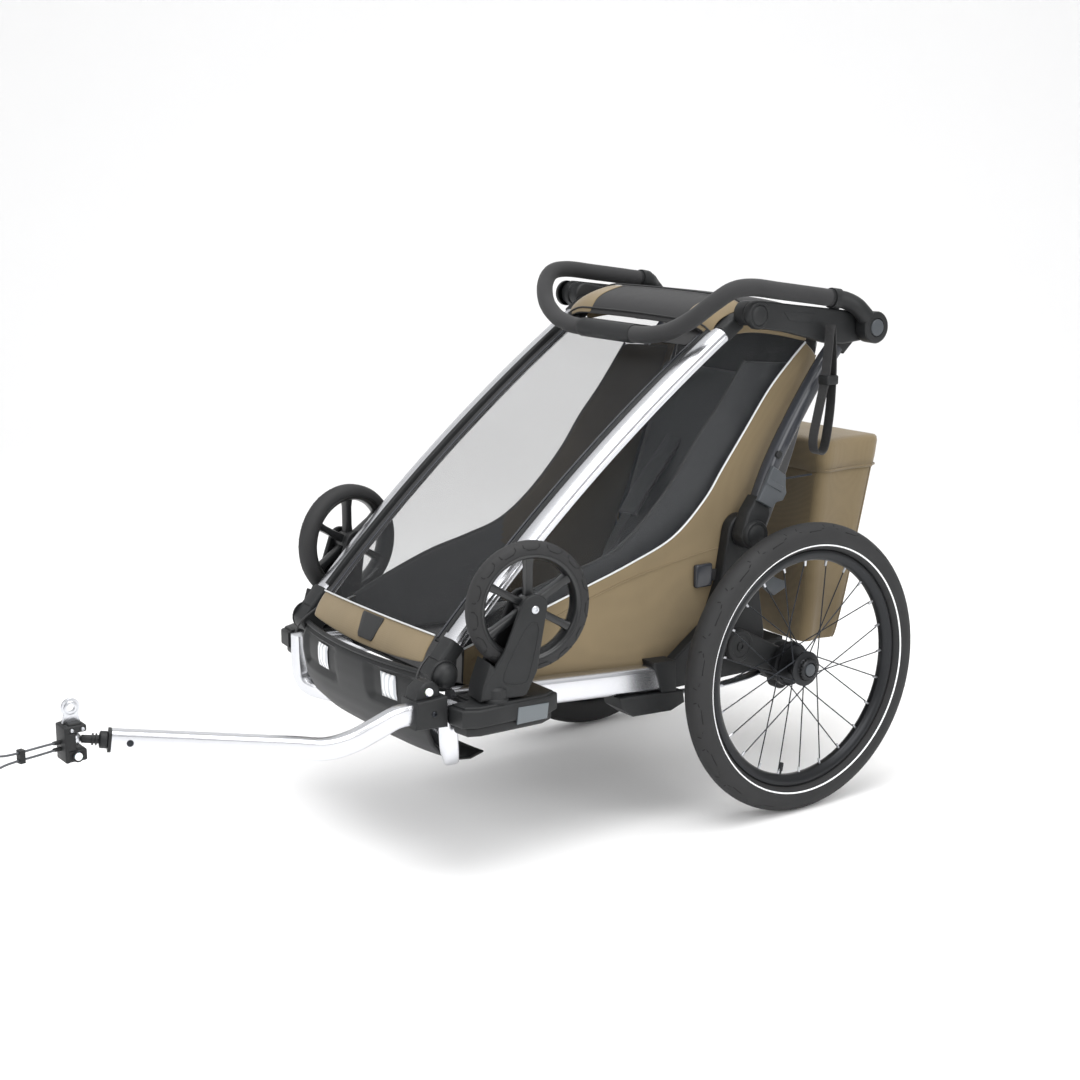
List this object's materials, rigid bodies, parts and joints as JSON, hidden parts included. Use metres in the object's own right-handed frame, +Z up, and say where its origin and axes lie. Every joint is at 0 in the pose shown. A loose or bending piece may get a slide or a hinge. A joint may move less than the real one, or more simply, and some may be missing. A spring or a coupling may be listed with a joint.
{
  "type": "child bicycle trailer",
  "caption": "Folding child bicycle trailer: tubular frame, fabric cabin with mesh window, road wheels, stowed stroller wheels, side hitch arm, fold-over handlebar and rear bag.",
  "frame": {"origin": "on the road, under the middle of the rear axle", "axes": "-Y towards the bicycle, +X to the trailer's left, +Z up"},
  "size_m": [0.6384, 1.6832, 0.908],
  "materials": {
    "black_plastic": "fine moulded texture",
    "grey_plastic": "moulded, slightly cool grey",
    "pale_plastic": "smooth",
    "silver_aluminium": "clear satin anodised extrusion",
    "steel": "machined",
    "black_alloy": "black anodised, satin",
    "tyre_rubber": "matt rubber with a reflective stripe",
    "wheel_rubber": "rubber tyre bonded on a moulded wheel",
    "grip_foam": "closed-cell foam, matt",
    "sand_fabric": "woven polyester, sand brown",
    "seat_fabric": "woven polyester, dark grey",
    "window_mesh": "open insect mesh, dark grey",
    "webbing": "woven strap",
    "cable_cover": "plastic-covered steel cable"
  },
  "bodies": {
    "chassis": {"floor_pan": "black_plastic", "side_rail_left": "silver_aluminium", "side_rail_right": "silver_aluminium", "front_cross_tube": "silver_aluminium", "rear_axle_beam": "black_alloy", "rear_post_left": "black_plastic", "rear_post_right": "black_plastic", "wing_left": "black_plastic", "wing_right": "black_plastic", "nose_cover": "black_plastic", "hitch_receiver": "black_plastic", "seat_base": "seat_fabric", "seat_back": "seat_fabric", "cabin_shell": "sand_fabric", "front_cover": "window_mesh", "cargo_bag": "sand_fabric"},
    "bag_lid": {"bag_lid": "sand_fabric"},
    "brake_pedal": {"brake_pedal": "black_plastic"},
    "front_rails": {"front_rail_left": "silver_aluminium", "front_rail_right": "silver_aluminium", "rail_foot_left": "black_plastic", "rail_foot_right": "black_plastic"},
    "top_frame": {"top_arm_left": "black_plastic", "top_arm_right": "black_plastic", "roof_panel": "seat_fabric", "wrist_strap": "webbing"},
    "rear_struts": {"strut_left": "black_plastic", "strut_right": "black_plastic", "rear_cross_tube": "black_alloy"},
    "handlebar": {"handlebar_grip": "grip_foam", "handlebar_sleeve": "black_plastic", "handlebar_arm_left": "black_plastic", "handlebar_arm_right": "black_plastic"},
    "hitch_arm": {"hitch_arm": "silver_aluminium"},
    "hitch_lock_button": {"hitch_lock_button": "pale_plastic"},
    "ball_stem": {"ball_stem": "black_plastic"},
    "hitch_ball": {"hitch_ball": "steel"},
    "coupler": {"coupler_cup": "black_plastic", "axle_eyelet": "steel", "leash": "cable_cover", "leash_slider": "black_plastic"},
    "coupler_button": {"coupler_button": "pale_plastic"},
    "strut_latch_left": {"strut_latch_left": "grey_plastic"},
    "handlebar_button_left": {"handlebar_button_left": "grey_plastic"},
    "suspension_left": {"suspension_arm_left": "black_plastic"},
    "wheel_left": {"tyre_left": "tyre_rubber", "rim_left": "black_alloy", "wheel_hub_left": "black_alloy"},
    "axle_button_left": {"axle_button_left": "grey_plastic"},
    "stroller_fork_left": {"stroller_fork_left": "black_plastic"},
    "stroller_wheel_left": {"stroller_wheel_left": "wheel_rubber"},
    "strut_latch_right": {"strut_latch_right": "grey_plastic"},
    "handlebar_button_right": {"handlebar_button_right": "grey_plastic"},
    "suspension_right": {"suspension_arm_right": "black_plastic"},
    "wheel_right": {"tyre_right": "tyre_rubber", "rim_right": "black_alloy", "wheel_hub_right": "black_alloy"},
    "axle_button_right": {"axle_button_right": "grey_plastic"},
    "stroller_fork_right": {"stroller_fork_right": "black_plastic"},
    "stroller_wheel_right": {"stroller_wheel_right": "wheel_rubber"}
  },
  "joints": [
    {"name": "rail_fold", "type": "hinge", "parent": "chassis", "child": "front_rails", "pos_m": [0, -0.67, 0.333], "axis": [-1, 0, 0], "range_deg": [0, 20], "deforming": ["cabin_shell", "front_cover", "seat_back"]},
    {"name": "roof_fold", "type": "hinge", "parent": "front_rails", "child": "top_frame", "pos_m": [0, -0.082, 0.849], "axis": [1, 0, 0], "range_deg": [0, 38.7]},
    {"name": "strut_fold", "type": "hinge", "parent": "chassis", "child": "rear_struts", "pos_m": [0, -0.067, 0.48], "axis": [-1, 0, 0], "range_deg": [0, 29.7]},
    {"name": "handlebar_tilt", "type": "hinge", "parent": "rear_struts", "child": "handlebar", "pos_m": [0, 0.155, 0.817], "axis": [-1, 0, 0], "range_deg": [0, 200]},
    {"name": "bag_lid_hinge", "type": "hinge", "parent": "chassis", "child": "bag_lid", "pos_m": [0, 0.308, 0.5905], "axis": [-1, 0, 0], "range_deg": [0, 170]},
    {"name": "brake_pedal_hinge", "type": "hinge", "parent": "chassis", "child": "brake_pedal", "pos_m": [0, -0.03, 0.252], "axis": [-1, 0, 0], "range_deg": [0, 18]},
    {"name": "strut_latch_left_slide", "type": "slide", "parent": "rear_struts", "child": "strut_latch_left", "axis": [0, 0.4899, 0.8718], "range_m": [0, 0.015], "stiffness_N_per_m": 150},
    {"name": "handlebar_button_left_press", "type": "slide", "parent": "handlebar", "child": "handlebar_button_left", "axis": [-1, 0, 0], "range_m": [0, 0.004], "stiffness_N_per_m": 400},
    {"name": "suspension_left_travel", "type": "hinge", "parent": "chassis", "child": "suspension_left", "pos_m": [0.2495, -0.106, 0.296], "axis": [1, 0, 0], "range_deg": [0, 12], "stiffness_Nm_per_rad": 80, "springref_deg": -8.59},
    {"name": "wheel_left_spin", "type": "hinge", "parent": "suspension_left", "child": "wheel_left", "pos_m": [0.2957, 0, 0.2505], "axis": [1, 0, 0], "continuous": true},
    {"name": "axle_button_left_press", "type": "slide", "parent": "wheel_left", "child": "axle_button_left", "axis": [-1, 0, 0], "range_m": [0, 0.003], "stiffness_N_per_m": 400},
    {"name": "stroller_fork_left_lift", "type": "slide", "parent": "chassis", "child": "stroller_fork_left", "axis": [0, 0, 1], "range_m": [0, 0.045]},
    {"name": "stroller_wheel_left_spin", "type": "hinge", "parent": "stroller_fork_left", "child": "stroller_wheel_left", "pos_m": [0.277, -0.554, 0.437], "axis": [0.9857, -0.1685, 0], "continuous": true},
    {"name": "strut_latch_right_slide", "type": "slide", "parent": "rear_struts", "child": "strut_latch_right", "axis": [0, 0.4899, 0.8718], "range_m": [0, 0.015], "stiffness_N_per_m": 150},
    {"name": "handlebar_button_right_press", "type": "slide", "parent": "handlebar", "child": "handlebar_button_right", "axis": [1, 0, 0], "range_m": [0, 0.004], "stiffness_N_per_m": 400},
    {"name": "suspension_right_travel", "type": "hinge", "parent": "chassis", "child": "suspension_right", "pos_m": [-0.2495, -0.106, 0.296], "axis": [1, 0, 0], "range_deg": [0, 12], "stiffness_Nm_per_rad": 80, "springref_deg": -8.59},
    {"name": "wheel_right_spin", "type": "hinge", "parent": "suspension_right", "child": "wheel_right", "pos_m": [-0.2957, 0, 0.2505], "axis": [1, 0, 0], "continuous": true},
    {"name": "axle_button_right_press", "type": "slide", "parent": "wheel_right", "child": "axle_button_right", "axis": [1, 0, 0], "range_m": [0, 0.003], "stiffness_N_per_m": 400},
    {"name": "stroller_fork_right_lift", "type": "slide", "parent": "chassis", "child": "stroller_fork_right", "axis": [0, 0, 1], "range_m": [0, 0.045]},
    {"name": "stroller_wheel_right_spin", "type": "hinge", "parent": "stroller_fork_right", "child": "stroller_wheel_right", "pos_m": [-0.277, -0.554, 0.437], "axis": [-0.9857, -0.1685, 0], "continuous": true},
    {"name": "hitch_arm_pull", "type": "slide", "parent": "chassis", "child": "hitch_arm", "axis": [0, -1, 0], "range_m": [0, 0.06]},
    {"name": "hitch_lock_press", "type": "slide", "parent": "chassis", "child": "hitch_lock_button", "axis": [-1, 0, 0], "range_m": [0, 0.0035], "stiffness_N_per_m": 400},
    {"name": "hitch_roll", "type": "hinge", "parent": "hitch_arm", "child": "ball_stem", "pos_m": [0.12, -1.167, 0.3], "axis": [-0.3207, -0.9372, 0.1374], "range_deg": [-45, 45]},
    {"name": "hitch_pitch", "type": "hinge", "parent": "ball_stem", "child": "hitch_ball", "pos_m": [0.1046, -1.212, 0.3066], "axis": [1, 0, 0], "range_deg": [-25, 10]},
    {"name": "hitch_yaw", "type": "hinge", "parent": "hitch_ball", "child": "coupler", "pos_m": [0.1046, -1.212, 0.3066], "axis": [0, 0, 1], "range_deg": [-60, 30]},
    {"name": "coupler_lock_press", "type": "slide", "parent": "coupler", "child": "coupler_button", "axis": [-1, 0, 0], "range_m": [0, 0.0025], "stiffness_N_per_m": 400}
  ],
  "couplings": [
    {"joint": "roof_fold", "follows": "rail_fold", "ratio": 1.93},
    {"joint": "strut_fold", "follows": "rail_fold", "ratio": 1.4836}
  ]
}
